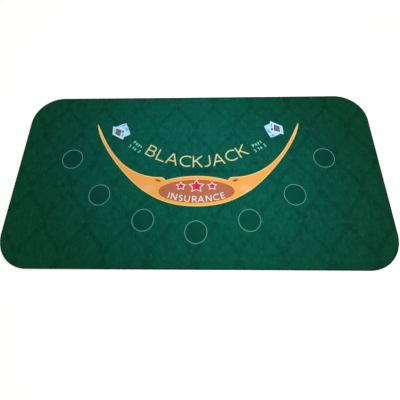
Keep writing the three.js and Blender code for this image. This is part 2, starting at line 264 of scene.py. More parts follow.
def noise(tree, size, detail=2, stretch=(1, 1, 1)):
    """Smooth random variation from 0 to 1 with patches about as large as size."""
    where = tree.nodes.new("ShaderNodeTexCoord")
    scale = tree.nodes.new("ShaderNodeMapping")
    scale.inputs["Scale"].default_value = [1 / (size * s) for s in stretch]
    pattern = tree.nodes.new("ShaderNodeTexNoise")
    pattern.inputs["Scale"].default_value = 1
    pattern.inputs["Detail"].default_value = detail
    tree.links.new(where.outputs["Object"], scale.inputs["Vector"])
    tree.links.new(scale.outputs["Vector"], pattern.inputs["Vector"])
    return Field(tree, pattern.outputs["Fac"])


def new_material(name, roughness, specular):
    """A material, its node tree and its shader."""
    material = bpy.data.materials.new(name)
    material.use_nodes = True
    shader = material.node_tree.nodes["Principled BSDF"]
    shader.inputs["Roughness"].default_value = roughness
    shader.inputs["Specular IOR Level"].default_value = specular
    return material, material.node_tree, shader


def raise_surface(tree, shader, height, depth):
    """Gives the shader a relief: height runs from 0 to 1 and depth is its size in metres."""
    bump = tree.nodes.new("ShaderNodeBump")
    bump.inputs["Strength"].default_value = RELIEF_STRENGTH
    bump.inputs["Distance"].default_value = depth
    tree.links.new(height.socket, bump.inputs["Height"])
    tree.links.new(bump.outputs["Normal"], shader.inputs["Normal"])


# ---- Cloth and ink materials --------------------------------------------------------------------

YARN_STEP = 0.9 * MM
YARN_DEPTH = 0.06 * MM

# The cloth is a little bluer towards the dealer's edge. It is darker towards the short edges,
# partly as a printed vignette and partly as painted shade where the lamp's light falls off. The
# middle of this painted pool of light lies a little to the right of the middle of the mat.
CLOTH_NEAR = (0.0018, 0.064, 0.041)
CLOTH_FAR = (0.0020, 0.066, 0.050)
CLOTH_EDGE_VIGNETTE_AND_SHADE = (0.0026, 0.043, 0.0215)
PAINTED_LIGHT_AND_VIGNETTE_MIDDLE_X = 25 * MM
PAINTED_LIGHT_AND_VIGNETTE_SLANT = 0.25
PAINTED_LIGHT_AND_VIGNETTE_HALF_WIDTH = 1.7 * HALF_WIDTH
PAINTED_LIGHT_AND_VIGNETTE_ENDS = 0.25

# The betting circles' insides are plain, and a little darker than the rest.
SPOT_SHADE = 0.8
SPOT_BLUR = 2 * MM

# Broad patches and short marks in the cloth: their size, how much longer they are upwards, and how
# far they change the colour. A mark is where the variation is past one of the two limits.
MOTTLE_SIZE = 45 * MM
MOTTLE_STRETCH = (1, 1.6, 1)
MOTTLE_SHARE = 0.3
MARK_SIZE = 9 * MM
MARK_STRETCH = (1, 2, 1)
LIGHT_MARK = (0.58, 0.78)
DARK_MARK = (0.42, 0.22)
MARK_SHARE = 0.32

# The cloth is darker in a patch between the oval and the game's name. It fades between two shares
# of its half size.
DARK_PATCH_GAP = 48 * MM
DARK_PATCH_HALF_LENGTH = 190 * MM
DARK_PATCH_HALF_WIDTH = 20 * MM
DARK_PATCH_FADE = (1.2, 0.2)
DARK_PATCH_SHARE = 0.3

SHEEN = 0.06
SHEEN_ROUGHNESS = 0.5
SHEEN_TINT = (0.02, 0.5, 0.35, 1)

# The tone-on-tone pattern: a lattice of dark bands with a small ornament in each diamond. The steps
# are a diamond's length across and up. A band is bowed and scalloped, its sides are ragged, and a
# light line follows it.
DIAMOND_STEP = (200 * MM, 321 * MM)
DIAMOND_MIDDLE = (-11 * MM, 84 * MM)
BAND_HALF_WIDTH = 11 * MM
BAND_BLUR = 4 * MM
BAND_BOW = 10 * MM
SCALLOP = 3.5 * MM
SCALLOPS = 6
RAGGED_SIZE = 22 * MM
RAGGED_REACH = 26 * MM
LINE_GAP = 6 * MM
LINE_WIDTHS = (2 * MM, 1 * MM)
LINE_STRENGTH = 0.35
PATTERN_TONE = {"ground": 0.02, "band": -0.12, "knot": -0.07, "light": 0.12, "dark": -0.09}

# The ornament, in mm from a diamond's middle. It is the same on both sides, so that only one is
# listed. A knot has a place and a radius. A leaf has a place, a turn in degrees, a half length, a
# half width and a strength.
KNOTS = [((0, 132), 20), ((18, -132), 18), ((94, 28), 20), ((94, -37), 20)]
LIGHT_LEAVES = [
    ((41, 36), 42, 21, 10, 1),
    ((41, -54), -50, 18, 8, 1),
    ((86, -4), 0, 14, 7, 1),
    ((0, 16), 90, 17, 4, 1),
    ((16, -10), 15, 14, 5, 1),
    ((0, 92), 90, 16, 6, 0.6),
    ((0, -100), 90, 14, 6, 0.6),
]
DARK_LEAVES = [
    ((46, 8), 5, 17, 5, 1),
    ((15, 38), 62, 16, 5, 1),
    ((25, -38), -35, 15, 4, 1),
    ((16, 66), 75, 13, 4, 1),
    ((13, -74), -75, 15, 4, 1),
]

# A knot is full out to this share of its radius. A leaf fades between two shares of its half size,
# and a vein between two distances from its middle.
KNOT_CORE = 0.4
LEAF_EDGE = (1.1, 0.85)
VEIN_WIDTHS = (1.5 * MM, 0.5 * MM)
VEIN_SHARE = 0.5


def weave(tree):
    """The height of plain-woven yarns, from 0 to 1."""
    x, y, _ = surface_place(tree)
    turn = math.tau / YARN_STEP
    return crossed_waves(x * turn, y * turn)


def leaf(across, up, place, turn_deg, half_length, half_width, strength):
    """The leaf's strength inside it, and less on its vein."""
    angle = math.radians(turn_deg)
    dx, dy = across - place[0] * MM, up - place[1] * MM
    along = dx * math.cos(angle) + dy * math.sin(angle)
    aside = dy * math.cos(angle) - dx * math.sin(angle)
    end = along / (half_length * MM)
    reach = length(end * end, aside / (half_width * MM))
    vein = ramp(calculate("ABSOLUTE", aside), *VEIN_WIDTHS)
    return ramp(reach, *LEAF_EDGE) * (1 - vein * VEIN_SHARE) * strength


def knot(across, up, place, radius):
    """1 inside a soft round spot of the ornament."""
    reach = length(across - place[0] * MM, up - place[1] * MM)
    return ramp(reach, radius * MM, radius * KNOT_CORE * MM)


def in_diamond(tree):
    """How far a point lies from the middle of its diamond, across without its sign and up."""
    x, y, _ = surface_place(tree)
    half_x, half_y = DIAMOND_STEP[0] / 2, DIAMOND_STEP[1] / 2
    across = calculate("PINGPONG", x - DIAMOND_MIDDLE[0], half_x)
    up = calculate("WRAP", y - DIAMOND_MIDDLE[1], half_y, -half_y)
    height = calculate("ABSOLUTE", up)
    shifted = calculate("GREATER_THAN", across / half_x + height / half_y, 1)
    across = choose(shifted, across, half_x - across)
    return across, up - shifted * calculate("SIGN", up) * half_y


def tone_pattern(tree):
    """The share by which the tone-on-tone pattern makes the cloth lighter, or darker below 0."""
    across, up = in_diamond(tree)
    half_x, half_y = DIAMOND_STEP[0] / 2, DIAMOND_STEP[1] / 2
    share = calculate("ABSOLUTE", up) / half_y
    bow = calculate("SINE", share * math.tau) * BAND_BOW
    scallops = calculate("SINE", share * (SCALLOPS * math.tau)) * SCALLOP
    inside = (1 - share) * half_x + bow + scallops - across
    depth = calculate("ABSOLUTE", inside * (half_y / math.hypot(half_x, half_y)))
    depth = depth + (noise(tree, RAGGED_SIZE) - 0.5) * RAGGED_REACH
    band = ramp(depth, BAND_HALF_WIDTH + BAND_BLUR, BAND_HALF_WIDTH - BAND_BLUR)
    line = ramp(calculate("ABSOLUTE", depth - BAND_HALF_WIDTH - LINE_GAP), *LINE_WIDTHS)
    knots = sum(knot(across, up, *values) for values in KNOTS)
    light = sum(leaf(across, up, *values) for values in LIGHT_LEAVES)
    dark = sum(leaf(across, up, *values) for values in DARK_LEAVES)
    return (
        PATTERN_TONE["ground"]
        + band * (PATTERN_TONE["band"] - PATTERN_TONE["ground"])
        + knots * PATTERN_TONE["knot"]
        + (light + line * LINE_STRENGTH) * PATTERN_TONE["light"]
        + dark * PATTERN_TONE["dark"]
    )


def distance_from_painted_light_middle(tree):
    """0 in the middle of the painted pool of light and the printed vignette, growing to about 1 at
    the mat's short edges. It grows more slowly towards the far left corner and the near right one,
    where the painted light reaches further."""
    x, y, _ = surface_place(tree)
    across = (x + y * PAINTED_LIGHT_AND_VIGNETTE_SLANT - PAINTED_LIGHT_AND_VIGNETTE_MIDDLE_X) / HALF_LENGTH
    return length(across, y / PAINTED_LIGHT_AND_VIGNETTE_HALF_WIDTH)


def inside_spots(tree):
    """1 inside the betting circles, where the cloth has no pattern."""
    x, y, _ = surface_place(tree)
    spots = []
    for node in SPOTS:
        centre = middle_of(node)
        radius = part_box(node)[1].x - centre.x
        spots.append(ramp(length(x - centre.x, y - centre.y), radius, radius - SPOT_BLUR))
    return sum(spots)


def dark_patch(tree):
    """1 in the middle of the dark patch, fading to 0 around it."""
    x, y, _ = surface_place(tree)
    middle_x = middle_of("band_oval").x
    middle_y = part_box("band_oval")[1].y + DARK_PATCH_GAP
    reach = length((x - middle_x) / DARK_PATCH_HALF_LENGTH, (y - middle_y) / DARK_PATCH_HALF_WIDTH)
    return ramp(reach, *DARK_PATCH_FADE)


def cloth_material():
    material, tree, shader = new_material("printed_cloth", roughness=0.9, specular=0.006)
    _, y, _ = surface_place(tree)
    middle = mix_colours(ramp(y, -HALF_WIDTH, HALF_WIDTH), CLOTH_NEAR, CLOTH_FAR)
    # Painted light: the ground darkens towards the short edges, partly as a printed vignette and
    # partly as painted shade where the light falls off.
    ground = mix_colours(ramp(distance_from_painted_light_middle(tree), PAINTED_LIGHT_AND_VIGNETTE_ENDS, 1), middle, CLOTH_EDGE_VIGNETTE_AND_SHADE)
    mottle = (noise(tree, MOTTLE_SIZE, detail=3, stretch=MOTTLE_STRETCH) - 0.5) * MOTTLE_SHARE
    grain = noise(tree, MARK_SIZE, detail=1, stretch=MARK_STRETCH)
    marks = ramp(grain, *LIGHT_MARK) - ramp(grain, *DARK_MARK)
    pattern = scale_colour(ground, tone_pattern(tree) + mottle + marks * MARK_SHARE + 1)
    # The cloth is darkened in a patch between the oval and the game's name.
    pattern = scale_colour(pattern, 1 - dark_patch(tree) * DARK_PATCH_SHARE)
    plain = scale_colour(ground, mottle + SPOT_SHADE)
    colour = mix_colours(inside_spots(tree), pattern, plain)
    tree.links.new(colour, shader.inputs["Base Color"])
    shader.inputs["Sheen Weight"].default_value = SHEEN
    shader.inputs["Sheen Roughness"].default_value = SHEEN_ROUGHNESS
    shader.inputs["Sheen Tint"].default_value = SHEEN_TINT
    raise_surface(tree, shader, weave(tree), YARN_DEPTH)
    return material


INK_ROUGHNESS = 0.85
INK_SPECULAR = 0.06
# Painted shade in the weave's hollows: the yarns that lie lower take up to the first share below of
# a darker colour, which is the ink times the second.
HOLLOW_SHADE_SHARE = 0.12
HOLLOW_SHADE_TONE = 0.55
DRIFT_LIMITS = (0.35, 0.75)

# Each ink has two close colours, the size in mm of the patches in which it drifts from the first to
# the second, and how far it drifts.
INKS = {
    "band_rim_ink": ((0.72, 0.50, 0.16), (0.68, 0.42, 0.12), 30, 0.5),
    "oval_ink": ((0.34, 0.104, 0.050), (0.305, 0.100, 0.066), 30, 1),
    "oval_rim_ink": ((0.25, 0.066, 0.014), (0.21, 0.06, 0.015), 30, 0.5),
    "fold_ink": ((0.22, 0.065, 0.022), (0.17, 0.05, 0.025), 8, 0.5),
    "fold_edge_ink": ((0.42, 0.16, 0.045), (0.38, 0.14, 0.05), 8, 0.5),
    "white_ink": ((0.66, 0.59, 0.58), (0.64, 0.54, 0.55), 12, 1),
    "star_outline_ink": ((0.70, 0.50, 0.53), (0.66, 0.56, 0.55), 12, 1),
    "red_ink": ((0.48, 0.016, 0.030), (0.40, 0.010, 0.030), 12, 0.5),
    "oval_shade_ink": ((0.20, 0.10, 0.07), (0.17, 0.10, 0.09), 12, 0.5),
    "gold_ink": ((0.47, 0.46, 0.19), (0.38, 0.46, 0.28), 20, 1),
    "cloth_shade_ink": ((0.002, 0.022, 0.014), (0.002, 0.018, 0.012), 20, 0.5),
    "mint_ink": ((0.18, 0.55, 0.46), (0.15, 0.48, 0.40), 8, 0.5),
    "circle_line_ink": ((0.10, 0.40, 0.32), (0.07, 0.33, 0.26), 15, 0.5),
    "card_back_ink": ((0.24, 0.55, 0.74), (0.35, 0.55, 0.76), 15, 1),
    "card_front_ink": ((0.33, 0.56, 0.60), (0.42, 0.56, 0.68), 15, 1),
    "card_border_ink": ((0.36, 0.72, 0.72), (0.42, 0.66, 0.74), 15, 1),
    "card_frame_ink": ((0.40, 0.41, 0.55), (0.34, 0.40, 0.54), 10, 0.5),
    "card_picture_ink": ((0.032, 0.026, 0.048), (0.052, 0.036, 0.064), 8, 0.5),
    "card_index_ink": ((0.06, 0.16, 0.13), (0.08, 0.20, 0.17), 5, 0.5),
    "card_pip_ink": ((0.004, 0.012, 0.018), (0.008, 0.02, 0.03), 5, 0.5),
    "card_faint_ink": ((0.22, 0.36, 0.36), (0.26, 0.42, 0.42), 5, 0.5),
    "card_heart_ink": ((0.28, 0.20, 0.42), (0.44, 0.32, 0.60), 6, 0.5),
    "card_spade_ink": ((0.09, 0.25, 0.50), (0.13, 0.34, 0.58), 6, 0.5),
}

# The band's ink: orange that is yellower at its lowest part, paler in one patch a side, and greyer
# towards the tips. The yarns that lie lower are painted darker, as shade in the weave's hollows.
BAND_ORANGE = (0.62, 0.27, 0.062)
BAND_YELLOW = (0.60, 0.31, 0.070)
BAND_PALE = (0.62, 0.38, 0.22)
BAND_TIP = (0.58, 0.46, 0.17)
BAND_HOLLOW_SHADE = (0.372, 0.162, 0.0372)
YELLOW_RISE = (5 * MM, 70 * MM)
PALE_PLACE = (238 * MM, -80 * MM)
PALE_HALF_SIZE = (34 * MM, 20 * MM)
PALE_FADE = (1.3, 0.3)
PALE_SHARE = 0.5
TIP_RISE = (150 * MM, 255 * MM)
TIP_SHARE = 0.85
BAND_DRIFT_SIZE = 40 * MM
BAND_DRIFT_LIMITS = (0.4, 0.8)
BAND_DRIFT_SHARE = 0.5


def dye_cloth(tree, shader, colour, hollow_shade_colour):
    """Gives the shader an ink's colour. The weave shows through it, and its lower yarns are painted
    darker, as shade in the hollows.
    """
    yarns = weave(tree)
    # Painted shade: the yarns that lie lower are darkened.
    hollow_shaded = mix_colours((1 - yarns) * HOLLOW_SHADE_SHARE, colour, hollow_shade_colour)
    tree.links.new(hollow_shaded, shader.inputs["Base Color"])
    raise_surface(tree, shader, yarns, YARN_DEPTH)


def ink_material(name):
    colour, second, patch, share = INKS[name]
    material, tree, shader = new_material(name, INK_ROUGHNESS, INK_SPECULAR)
    drift = ramp(noise(tree, patch * MM, detail=3), *DRIFT_LIMITS) * share
    # The darker colour of the painted shade in the weave's hollows.
    hollow_shaded = tuple(part * HOLLOW_SHADE_TONE for part in colour)
    dye_cloth(tree, shader, mix_colours(drift, colour, second), hollow_shaded)
    return material


def band_material():
    material, tree, shader = new_material("band_ink", INK_ROUGHNESS, INK_SPECULAR)
    x, y, _ = surface_place(tree)
    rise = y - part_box("horn_band")[0].y
    blend = mix_colours(ramp(rise, *YELLOW_RISE), BAND_YELLOW, BAND_ORANGE)
    across = (calculate("ABSOLUTE", x) - PALE_PLACE[0]) / PALE_HALF_SIZE[0]
    up = (y - PALE_PLACE[1]) / PALE_HALF_SIZE[1]
    blend = mix_colours(ramp(length(across, up), *PALE_FADE) * PALE_SHARE, blend, BAND_PALE)
    blend = mix_colours(ramp(y, *TIP_RISE) * TIP_SHARE, blend, BAND_TIP)
    drift = ramp(noise(tree, BAND_DRIFT_SIZE, detail=3), *BAND_DRIFT_LIMITS) * BAND_DRIFT_SHARE
    dye_cloth(tree, shader, mix_colours(drift, blend, BAND_YELLOW), BAND_HOLLOW_SHADE)
    return material


# ---- Rubber, film and thread materials ----------------------------------------------------------

EMBOSS_STEP = 3 * MM
EMBOSS_SHARE = 0.6
CELL_SIZE = 0.7 * MM
RUBBER_DEPTH = 0.25 * MM
RUBBER_BLACK = (0.008, 0.008, 0.009)
RUBBER_DUST = (0.018, 0.018, 0.017)
DUST_SIZE = 60 * MM
DUST_LIMITS = (0.5, 0.8)

GLUE_DARK = (0.50, 0.47, 0.36)
GLUE_LIGHT = (0.62, 0.60, 0.50)
GLUE_PATCH = 4 * MM

STRAND_STEP = 0.25 * MM
STRAND_DEPTH = 0.03 * MM
# The overlock thread's grooves are painted in the dark colour and the crests of its strands in the
# light one, as painted shade and light.
THREAD_DARK = (0.001, 0.007, 0.005)
THREAD_LIGHT = (0.004, 0.018, 0.013)


def rubber_material():
    """Black foam rubber with a fine diamond emboss underneath and open cells on its cut sides."""
    material, tree, shader = new_material("foam_rubber", roughness=0.9, specular=0.25)
    x, y, _ = surface_place(tree)
    turn = math.tau / EMBOSS_STEP
    emboss = crossed_waves((x + y) * turn, (x - y) * turn)
    relief = choose(EMBOSS_SHARE, noise(tree, CELL_SIZE, detail=4), emboss)
    dust = ramp(noise(tree, DUST_SIZE, detail=4), *DUST_LIMITS)
    colour = mix_colours(dust, RUBBER_BLACK, RUBBER_DUST)
    tree.links.new(colour, shader.inputs["Base Color"])
    raise_surface(tree, shader, relief, RUBBER_DEPTH)
    return material


def bond_material():
    material, tree, shader = new_material("bonding_glue", roughness=0.6, specular=0.4)
    colour = mix_colours(noise(tree, GLUE_PATCH, detail=3), GLUE_DARK, GLUE_LIGHT)
    tree.links.new(colour, shader.inputs["Base Color"])
    return material


def thread_material():
    """Green-black polyester yarn with fine twisted strands."""
    material, tree, shader = new_material("overlock_thread", roughness=0.7, specular=0.08)
    x, y, z = surface_place(tree)
    strands = wave((x + y + z) * (math.tau / STRAND_STEP))
    # The strands' relief also sets the colour: painted shade in the grooves and painted light on
    # the crests.
    colour = mix_colours(strands, THREAD_DARK, THREAD_LIGHT)
    tree.links.new(colour, shader.inputs["Base Color"])
    raise_surface(tree, shader, strands, STRAND_DEPTH)
    return material


# ---- Outlines -----------------------------------------------------------------------------------

# A corner that turns by less than SHARP_TURN_DEG belongs to a curve, and a side that ends in one
# becomes CURVE_PARTS shorter sides. TINY keeps a division off 0.
SHARP_TURN_DEG = 33
CURVE_PARTS = 4
TINY = 1e-12

# How a line inside an outline is kept off the other sides of the shape: a point goes in only as far
# as LOOK_AHEAD times its way in still lies CLEARANCE times that way from every side. A shorter way
# is tried in steps, down to the least one.
LOOK_AHEAD = 1.25
CLEARANCE = 1.2
SHORTER_WAY = 0.9
LEAST_WAY = 0.1 * MM
SHARPEST_MITRE = 0.3


def top_outlines(node):
    """The closed outlines of a CAD film's upper face as arrays of x and y, the outer one first."""
    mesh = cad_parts[node].data
    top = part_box(node)[1].z
    place = [(round(v.co.x, 6), round(v.co.y, 6)) for v in mesh.vertices]
    level = [abs(v.co.z - top) < SAME_PLACE for v in mesh.vertices]
    # A side that two faces share cancels out, which leaves the sides of the outlines.
    sides = {}
    for face in mesh.polygons:
        if not all(level[i] for i in face.vertices):
            continue
        ring = [place[i] for i in face.vertices]
        for start, end in zip(ring, ring[1:] + ring[:1]):
            if (end, start) in sides:
                del sides[(end, start)]
            else:
                sides[(start, end)] = True
    follows = {start: end for start, end in sides}
    loops = []
    while follows:
        start, here = follows.popitem()
        loop = [start]
        while here != start:
            loop.append(here)
            here = follows.pop(here)
        loops.append(np.array(loop))
    return sorted(loops, key=lambda loop: -abs(signed_area(loop)))


def signed_area(loop):
    x, y = loop.T
    return (x * np.roll(y, -1) - y * np.roll(x, -1)).sum() / 2


def rounded(loop):
    """The loop with extra points that turn its small bends into curves. Sharp corners stay."""
    ahead = np.roll(loop, -1, 0) - loop
    behind = np.roll(ahead, 1, 0)
    turn = np.arctan2(
        behind[:, 0] * ahead[:, 1] - behind[:, 1] * ahead[:, 0],
        (behind * ahead).sum(1),
    )
    sharp = np.abs(turn) > math.radians(SHARP_TURN_DEG)
    ahead_length = np.linalg.norm(ahead, axis=1)[:, None]
    behind_length = np.roll(ahead_length, 1, 0)
    tangent = ahead / ahead_length * behind_length + behind / behind_length * ahead_length
    tangent /= np.maximum(np.linalg.norm(tangent, axis=1), TINY)[:, None]
    points = []
    for i in range(len(loop)):
        j = (i + 1) % len(loop)
        chord = loop[j] - loop[i]
        size = np.linalg.norm(chord)
        leave = chord if sharp[i] else tangent[i] * size
        arrive = chord if sharp[j] else tangent[j] * size
        parts = 1 if sharp[i] and sharp[j] else CURVE_PARTS
        for k in range(parts):
            t = k / parts
            points.append(
                (2 * t**3 - 3 * t**2 + 1) * loop[i]
                + (t**3 - 2 * t**2 + t) * leave
                + (3 * t**2 - 2 * t**3) * loop[j]
                + (t**3 - t**2) * arrive
            )
    return np.array(points)


def distance_to(loop, point):
    """The shortest distance from a point to the loop's sides."""
    side = np.roll(loop, -1, 0) - loop
    along = ((point - loop) * side).sum(1) / (side**2).sum(1)
    nearest = loop + np.clip(along, 0, 1)[:, None] * side
    return np.linalg.norm(nearest - point, axis=1).min()


def inset(loop, distance):
    """The loop moved inwards by a distance, and by less where the shape is too thin for it."""
    ahead = np.roll(loop, -1, 0) - loop
    ahead /= np.linalg.norm(ahead, axis=1)[:, None]
    along = ahead + np.roll(ahead, 1, 0)
    along /= np.maximum(np.linalg.norm(along, axis=1), TINY)[:, None]
    inwards = np.stack([-along[:, 1], along[:, 0]], 1) * np.sign(signed_area(loop))
    mitre = 1 / np.maximum((along * ahead).sum(1), SHARPEST_MITRE)
    moved = []
    for point, direction in zip(loop, inwards * mitre[:, None]):
        way = distance
        while way > LEAST_WAY:
            if distance_to(loop, point + direction * LOOK_AHEAD * way) >= CLEARANCE * way:
                break
            way *= SHORTER_WAY
        moved.append(point + direction * way)
    return np.array(moved)


# ---- Pieces -------------------------------------------------------------------------------------


def add_piece(name, vertices, faces, material, stands_for=()):
    """A piece of the mat, in place of the CAD nodes that it stands for."""
    mesh = bpy.data.meshes.new(name)
    mesh.from_pydata(vertices, [], faces)
    mesh.validate()
    mesh.materials.append(material)
    piece = bpy.data.objects.new(name, mesh)
    bpy.context.scene.collection.objects.link(piece)
    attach(piece, "root")
    if stands_for:
        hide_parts(*stands_for)
    return piece


def flat_body(loops, low, high):
    """The vertices and faces of a closed body between two heights. The first loop is its outline,
    and the others are holes."""
    wound = []
    for i, loop in enumerate(loops):
        anticlockwise = signed_area(loop) > 0
        wound.append(loop if anticlockwise == (i == 0) else loop[::-1])
    flat = np.concatenate(wound)
    count = len(flat)
    vertices = [(x, y, low) for x, y in flat] + [(x, y, high) for x, y in flat]
    faces = []
    for a, b, c in tessellate_polygon([[Vector((x, y, 0)) for x, y in loop] for loop in wound]):
        if signed_area(flat[[a, b, c]]) < 0:
            b, c = c, b
        faces += [(a, c, b), (a + count, b + count, c + count)]
    start = 0
    for loop in wound:
        for i in range(len(loop)):
            a, b = start + i, start + (i + 1) % len(loop)
            faces.append((a, b, b + count, a + count))
        start += len(loop)
    return vertices, faces


def add_film(name, loops, low, high, material, stands_for=()):
    """A printed area of one ink, with its outline and its holes."""
    vertices, faces = flat_body(loops, low, high)
    add_piece(name, vertices, faces, material, stands_for)


def add_films(name, outlines, low, high, material):
    """Several printed areas of one ink as one piece."""
    vertices, faces = [], []
    for outline in outlines:
        corners, sides = flat_body([outline], low, high)
        faces += [tuple(len(vertices) + i for i in side) for side in sides]
        vertices += corners
    add_piece(name, vertices, faces, material)


# ---- The sheets ---------------------------------------------------------------------------------

SHEET_COLUMNS = 180
CORNER_ROWS = 12
STRAIGHT_ROWS = 36


def sheet_rows():
    """Pairs of y and the sheet's half length there, from the players' edge to the dealer's."""
    radius = CORNER_RADIUS - SHEET_INSET
    straight_x = HALF_LENGTH - CORNER_RADIUS
    straight_y = HALF_WIDTH - CORNER_RADIUS
    angles = [math.pi / 2 * i / CORNER_ROWS for i in range(CORNER_ROWS + 1)]
    corner = [
        (straight_y + radius * math.sin(angle), straight_x + radius * math.cos(angle))
        for angle in angles
    ]
    straight = [
        (straight_y * (2 * i / STRAIGHT_ROWS - 1), straight_x + radius)
        for i in range(1, STRAIGHT_ROWS)
    ]
    return [(-y, x) for y, x in reversed(corner)] + straight + corner


def add_sheet(name, material, node):
    """A rounded rectangle as thick as its node, in rows of four-sided faces."""
    low, high = [corner.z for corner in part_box(node)]
    rows = sheet_rows()
    width = SHEET_COLUMNS + 1
    flat = [(half * (2 * i / SHEET_COLUMNS - 1), y) for y, half in rows for i in range(width)]
    count = len(flat)
    vertices = [(x, y, low) for x, y in flat] + [(x, y, high) for x, y in flat]
    faces = []
    for row in range(len(rows) - 1):
        for i in range(SHEET_COLUMNS):
            a = row * width + i
            ring = (a, a + 1, a + 1 + width, a + width)
            faces.append(tuple(reversed(ring)))
            faces.append(tuple(v + count for v in ring))
    last = (len(rows) - 1) * width
    rim = list(range(width))
    rim += [row * width + SHEET_COLUMNS for row in range(1, len(rows) - 1)]
    rim += [last + i for i in reversed(range(width))]
    rim += [row * width for row in reversed(range(1, len(rows) - 1))]
    for a, b in zip(rim, rim[1:] + rim[:1]):
        faces.append((a, b, b + count, a + count))
    return add_piece(name, vertices, faces, material, (node,))


def add_sheets():
    rubber = add_sheet("foam_rubber_base", rubber_material(), "rubber_base")
    cloth = add_sheet("printed_face_cloth", cloth_material(), "face_cloth")
    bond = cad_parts["bonding_film"]
    bond.data.materials.clear()
    bond.data.materials.append(bond_material())


# ---- The stitched edge --------------------------------------------------------------------------

STITCH_STEP = 1.9 * MM
STITCH_SEED = 7
STITCH_DRIFT = 0.07 * MM
SECTION_SIDES = 6

# A wrapping stitch: how far each of its points lies inside the mat's edge, and its height, in mm.
WRAP_PATH = [
    (5.2, 3.02),
    (4.8, 3.2),
    (3.4, 3.27),
    (1.8, 3.27),
    (0.8, 3.1),
    (0.35, 2.5),
    (0.3, 1.4),
    (0.5, 0.5),
]
# Half a thread's width and half its height, and the share of a step by which a stitch leans.
WRAP_THREAD = (0.8 * MM, 0.2 * MM)
WRAP_LEAN = 0.6

# One link of the needle thread's line, which ties the wrapping stitches down. Its length is in
# steps, and its ends lie lower than its middle.
LINK_INSET = 4.75 * MM
LINK_RISE = 0.3 * MM
LINK_END_RISE = 0.21 * MM
LINK_THREAD = (0.3 * MM, 0.15 * MM)
LINK_LENGTH = 1.15


def edge_run(side):
    """Places along one straight edge and the corner after it, and the outward direction at each."""
    straight = [HALF_LENGTH - CORNER_RADIUS, HALF_WIDTH - CORNER_RADIUS]
    along = np.array([[1, 0], [0, 1], [-1, 0], [0, -1]][side], float)
    out = np.array([along[1], -along[0]])
    corner = np.array([[1, -1], [1, 1], [-1, 1], [-1, -1]][side]) * straight
    half_run = straight[side % 2]
    steps = round(2 * half_run / STITCH_STEP)
    back = np.linspace(2 * half_run, 0, steps, endpoint=False)[:, None]
    places = corner + out * CORNER_RADIUS - back * along
    turns = round(CORNER_RADIUS * math.pi / 2 / STITCH_STEP)
    angle = np.linspace(0, math.pi / 2, turns, endpoint=False)[:, None]
    outwards = out * np.cos(angle) + along * np.sin(angle)
    places = np.concatenate([places, corner + outwards * CORNER_RADIUS])
    return places, np.concatenate([np.repeat(out[None], steps, 0), outwards])


def sweep_threads(places, outwards, path, thread, wide):
    """One short thread at each place. path holds each point's distance outwards, along the edge
    and up, and wide is the direction in those axes in which the thread is broad."""
    path = np.array(path)
    run = np.gradient(path, axis=0)
    flat = np.cross(run, wide)
    flat /= np.linalg.norm(flat, axis=1)[:, None]
    angle = np.arange(SECTION_SIDES) * math.tau / SECTION_SIDES
    ring = (
        thread[0] * np.cos(angle)[:, None, None] * np.array(wide, float)
        + thread[1] * np.sin(angle)[:, None, None] * flat
    )
    local = (path + ring).transpose(1, 0, 2)
    up = np.array([0, 0, 1.0])
    out = np.pad(outwards, ((0, 0), (0, 1)))
    along = np.cross(up, out)
    drift = np.random.default_rng(STITCH_SEED).normal(0, STITCH_DRIFT, len(places))
    start = np.pad(places, ((0, 0), (0, 1))) + along * drift[:, None]
    vertices = (
        start[:, None, None]
        + local[None, ..., 0:1] * out[:, None, None]
        + local[None, ..., 1:2] * along[:, None, None]
        + local[None, ..., 2:3] * up
    )
    thread_starts = np.arange(len(places))[:, None] * len(path) * SECTION_SIDES
    ring_starts = thread_starts[..., None] + np.arange(len(path) - 1)[:, None] * SECTION_SIDES
    corner = np.arange(SECTION_SIDES)
    near, near_next = ring_starts + corner, ring_starts + (corner + 1) % SECTION_SIDES
    quads = np.stack([near, near_next, near_next + SECTION_SIDES, near + SECTION_SIDES], -1)
    last_ring = (len(path) - 1) * SECTION_SIDES
    caps = np.concatenate([thread_starts + corner[::-1], thread_starts + last_ring + corner])
    return vertices.reshape(-1, 3), quads.reshape(-1, 4).tolist() + caps.tolist()


def add_stitching():
    wrap = [
        (-inside * MM, WRAP_LEAN * STITCH_STEP * i / (len(WRAP_PATH) - 1), height * MM)
        for i, (inside, height) in enumerate(WRAP_PATH)
    ]
    half_link = STITCH_STEP * LINK_LENGTH / 2
    link = [
        (-LINK_INSET, -half_link, CLOTH_HIGH.z + LINK_END_RISE),
        (-LINK_INSET, 0, CLOTH_HIGH.z + LINK_RISE),
        (-LINK_INSET, half_link, CLOTH_HIGH.z + LINK_END_RISE),
    ]
    material = thread_material()
    for side, name in enumerate(["players", "right", "dealers", "left"]):
        places, outwards = edge_run(side)
        stands_for = ("edge_overlock",) if side == 0 else ()
        vertices, faces = sweep_threads(places, outwards, wrap, WRAP_THREAD, (0, 1, 0))
        add_piece(f"overlock_{name}_edge", vertices, faces, material, stands_for)
        vertices, faces = sweep_threads(places, outwards, link, LINK_THREAD, (1, 0, 0))
        add_piece(f"needle_line_{name}_edge", vertices, faces, material)


# ---- The print ----------------------------------------------------------------------------------

SHADE_THICKNESS = 0.02 * MM

BAND_RIM = 3.5 * MM
OVAL_RIM = 3 * MM
FOLD_RIM = 2 * MM
CARD_RIM = 4.5 * MM

# How far a shadow lies to the right of its shape and up from it.
STAR_SHADOW = (1.5 * MM, -2.5 * MM)
OVAL_WORD_SHADOW = (1.8 * MM, -1.5 * MM)
GAME_WORD_SHADOW = (1.8 * MM, -1.8 * MM)


def print_node(node, material):
    """The CAD film with its facets turned into curves. Returns its outlines."""
    low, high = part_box(node)
    loops = [rounded(loop) for loop in top_outlines(node)]
    add_film(f"{node}_print", loops, low.z, high.z, material, (node,))
    return loops


